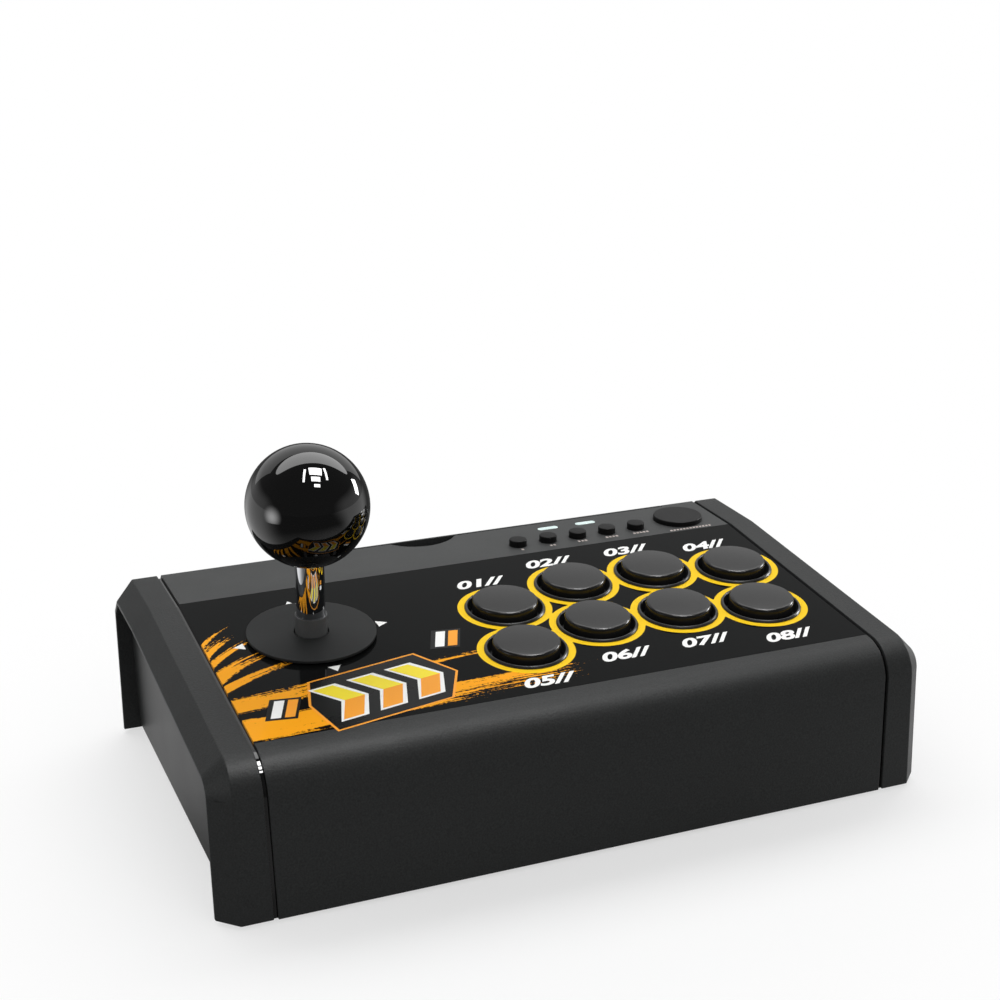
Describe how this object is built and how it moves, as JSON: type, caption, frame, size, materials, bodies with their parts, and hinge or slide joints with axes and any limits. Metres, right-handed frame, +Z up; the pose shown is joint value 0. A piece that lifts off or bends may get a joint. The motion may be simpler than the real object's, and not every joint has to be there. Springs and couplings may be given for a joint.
{
  "type": "arcade joystick panel",
  "caption": "Desk-top arcade joystick panel: ball-top stick and push buttons on a sloped glossy panel, with a rear hatch over the cable compartment.",
  "frame": {"origin": "on the surface it stands on, under the middle of the case (the free cable and its plug left out)", "axes": "+X to the player's right along the case's long side, +Y away from the player, +Z up"},
  "size_m": [0.2244, 0.2231, 0.109],
  "materials": {
    "case_plastic": "fine grained matt black moulding",
    "strip_plastic": "matt dark grey moulding",
    "plate_gloss": "mirror gloss black with printed graphics",
    "side_plastic": "satin dark grey",
    "rubber": "matt black rubber",
    "steel": "plain steel",
    "rim_plastic": "satin dark grey",
    "button_plastic": "satin dark grey",
    "small_button_plastic": "satin black",
    "board": "green circuit board",
    "switch_plastic": "black",
    "lamp": "milky pale cyan",
    "stick_plastic": "black engineering plastic",
    "chrome": "polished",
    "ball_gloss": "high gloss black",
    "washer_plastic": "matt dark grey",
    "cable_jacket": "satin black jacket"
  },
  "bodies": {
    "case": {"bottom_cover": "case_plastic", "button_board": "board", "button_housing_1": "rim_plastic", "button_housing_2": "rim_plastic", "button_housing_3": "rim_plastic", "button_housing_4": "rim_plastic", "button_housing_5": "rim_plastic", "button_housing_6": "rim_plastic", "button_housing_7": "rim_plastic", "button_housing_8": "rim_plastic", "button_switches": "switch_plastic", "cable_compartment": "case_plastic", "cable_gland": "cable_jacket", "case_screws": "steel", "control_strip": "strip_plastic", "door_hinge_pin": "steel", "faceplate": "plate_gloss", "joystick_housing": "stick_plastic", "joystick_plate": "steel", "joystick_switches": "switch_plastic", "led_guides": "lamp", "left_end_cap": "case_plastic", "left_side_panel": "side_plastic", "left_trim": "plate_gloss", "restrictor_gate": "stick_plastic", "right_end_cap": "case_plastic", "right_side_panel": "side_plastic", "right_trim": "plate_gloss", "rubber_feet": "rubber", "strip_board": "board", "strip_switches": "switch_plastic", "top_case": "case_plastic", "usb_cable": "cable_jacket", "usb_plug_grip": "cable_jacket", "usb_plug_shell": "steel", "usb_plug_tongue": "switch_plastic"},
    "plunger_1": {"button_plunger_1": "button_plastic"},
    "plunger_2": {"button_plunger_2": "button_plastic"},
    "plunger_3": {"button_plunger_3": "button_plastic"},
    "plunger_4": {"button_plunger_4": "button_plastic"},
    "plunger_5": {"button_plunger_5": "button_plastic"},
    "plunger_6": {"button_plunger_6": "button_plastic"},
    "plunger_7": {"button_plunger_7": "button_plastic"},
    "plunger_8": {"button_plunger_8": "button_plastic"},
    "home_key": {"home_button": "small_button_plastic"},
    "share_key": {"share_button": "small_button_plastic"},
    "turbo_key": {"turbo_button": "small_button_plastic"},
    "left_mode_key": {"left_mode_button": "small_button_plastic"},
    "right_mode_key": {"right_mode_button": "small_button_plastic"},
    "start_key": {"start_button": "small_button_plastic"},
    "door": {"rear_door": "case_plastic"},
    "gimbal": {"gimbal_yoke": "stick_plastic"},
    "stick": {"joystick_shaft": "chrome", "ball_top": "ball_gloss", "shaft_collar": "washer_plastic", "actuator": "stick_plastic", "shaft_clip": "steel", "joystick_spring": "steel"},
    "washer_slide": {"dust_slide": "washer_plastic"},
    "washer": {"dust_washer": "washer_plastic"}
  },
  "joints": [
    {"name": "button_1_press", "type": "slide", "parent": "case", "child": "plunger_1", "axis": [0, 0.0797, -0.9968], "range_m": [0, 0.0022], "stiffness_N_per_m": 300, "springref_m": -0.0006},
    {"name": "button_2_press", "type": "slide", "parent": "case", "child": "plunger_2", "axis": [0, 0.0797, -0.9968], "range_m": [0, 0.0022], "stiffness_N_per_m": 300, "springref_m": -0.0006},
    {"name": "button_3_press", "type": "slide", "parent": "case", "child": "plunger_3", "axis": [0, 0.0797, -0.9968], "range_m": [0, 0.0022], "stiffness_N_per_m": 300, "springref_m": -0.0006},
    {"name": "button_4_press", "type": "slide", "parent": "case", "child": "plunger_4", "axis": [0, 0.0797, -0.9968], "range_m": [0, 0.0022], "stiffness_N_per_m": 300, "springref_m": -0.0006},
    {"name": "button_5_press", "type": "slide", "parent": "case", "child": "plunger_5", "axis": [0, 0.0797, -0.9968], "range_m": [0, 0.0022], "stiffness_N_per_m": 300, "springref_m": -0.0006},
    {"name": "button_6_press", "type": "slide", "parent": "case", "child": "plunger_6", "axis": [0, 0.0797, -0.9968], "range_m": [0, 0.0022], "stiffness_N_per_m": 300, "springref_m": -0.0006},
    {"name": "button_7_press", "type": "slide", "parent": "case", "child": "plunger_7", "axis": [0, 0.0797, -0.9968], "range_m": [0, 0.0022], "stiffness_N_per_m": 300, "springref_m": -0.0006},
    {"name": "button_8_press", "type": "slide", "parent": "case", "child": "plunger_8", "axis": [0, 0.0797, -0.9968], "range_m": [0, 0.0022], "stiffness_N_per_m": 300, "springref_m": -0.0006},
    {"name": "home_press", "type": "slide", "parent": "case", "child": "home_key", "axis": [0, 0, -1], "range_m": [0, 0.0008], "stiffness_N_per_m": 500, "springref_m": -0.0004},
    {"name": "share_press", "type": "slide", "parent": "case", "child": "share_key", "axis": [0, 0, -1], "range_m": [0, 0.0008], "stiffness_N_per_m": 500, "springref_m": -0.0004},
    {"name": "turbo_press", "type": "slide", "parent": "case", "child": "turbo_key", "axis": [0, 0, -1], "range_m": [0, 0.0008], "stiffness_N_per_m": 500, "springref_m": -0.0004},
    {"name": "left_mode_press", "type": "slide", "parent": "case", "child": "left_mode_key", "axis": [0, 0, -1], "range_m": [0, 0.0008], "stiffness_N_per_m": 500, "springref_m": -0.0004},
    {"name": "right_mode_press", "type": "slide", "parent": "case", "child": "right_mode_key", "axis": [0, 0, -1], "range_m": [0, 0.0008], "stiffness_N_per_m": 500, "springref_m": -0.0004},
    {"name": "start_press", "type": "slide", "parent": "case", "child": "start_key", "axis": [0, 0, -1], "range_m": [0, 0.0008], "stiffness_N_per_m": 500, "springref_m": -0.0004},
    {"name": "door_swing", "type": "hinge", "parent": "case", "child": "door", "pos_m": [0, 0.06524, 0.0061], "axis": [-1, 0, 0], "range_deg": [0, 90]},
    {"name": "stick_forward_back", "type": "hinge", "parent": "case", "child": "gimbal", "pos_m": [-0.0621, 0.00096, 0.034], "axis": [1, 0, 0], "range_deg": [-8.5, 8.5], "stiffness_Nm_per_rad": 0.3},
    {"name": "stick_left_right", "type": "hinge", "parent": "gimbal", "child": "stick", "pos_m": [-0.0621, 0.00096, 0.034], "axis": [0, 0.9968, 0.0797], "range_deg": [-8.5, 8.5], "stiffness_Nm_per_rad": 0.3},
    {"name": "washer_left_right", "type": "slide", "parent": "case", "child": "washer_slide", "axis": [1, 0, 0], "range_m": [-0.00274, 0.00274]},
    {"name": "washer_forward_back", "type": "slide", "parent": "washer_slide", "child": "washer", "axis": [0, 0.9968, 0.0797], "range_m": [-0.00274, 0.00274]}
  ],
  "couplings": [
    {"joint": "washer_left_right", "follows": "stick_left_right", "m_per_rad": 0.0181},
    {"joint": "washer_forward_back", "follows": "stick_forward_back", "m_per_rad": -0.0181}
  ]
}
